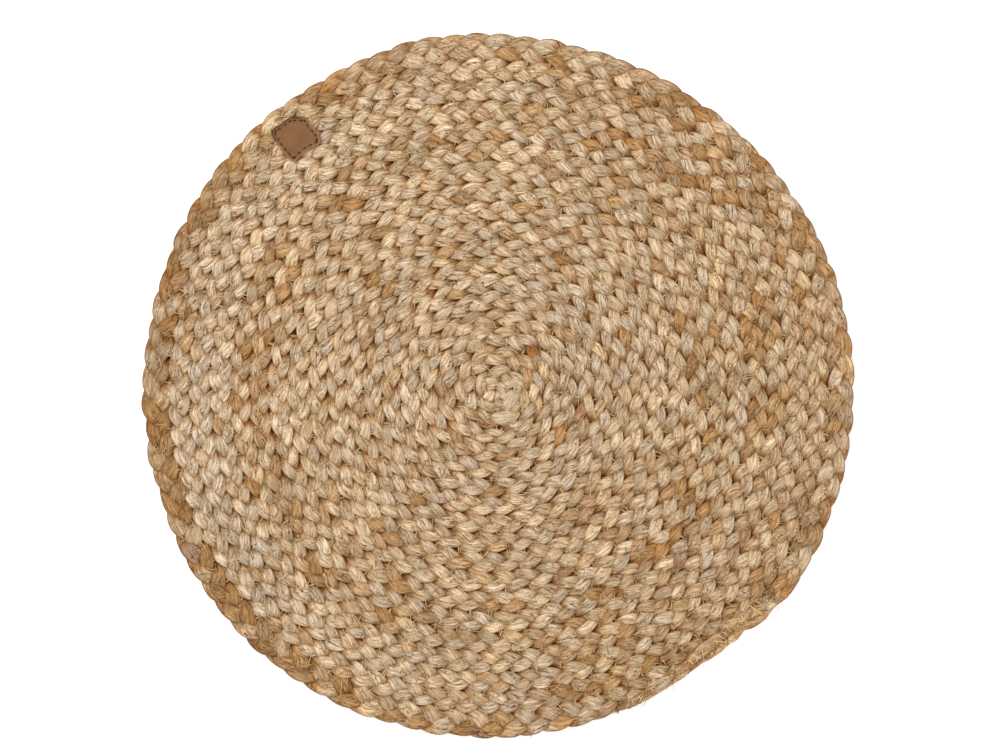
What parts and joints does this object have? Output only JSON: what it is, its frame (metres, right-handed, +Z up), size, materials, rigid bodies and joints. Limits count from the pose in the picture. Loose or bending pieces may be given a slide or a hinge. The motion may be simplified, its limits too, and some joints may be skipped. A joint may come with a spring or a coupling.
{
  "type": "jute placemat",
  "caption": "Round flat placemat of plaited jute, wound in a spiral and sewn turn to turn, with a small square leather patch near the rim.",
  "frame": {"origin": "under the middle of the outline, on the plane that the underside rests on", "axes": "+Z up out of the top face, +Y towards the top of the picture, +X to its right, so the patch lies towards -X and +Y"},
  "size_m": [0.379, 0.3756, 0.0087],
  "materials": {
    "jute": "matte undyed plaited fibre",
    "leather": "smooth brown, semi-matte"
  },
  "bodies": {
    "root": {"mat": "jute", "leather_patch": "leather"}
  },
  "joints": []
}
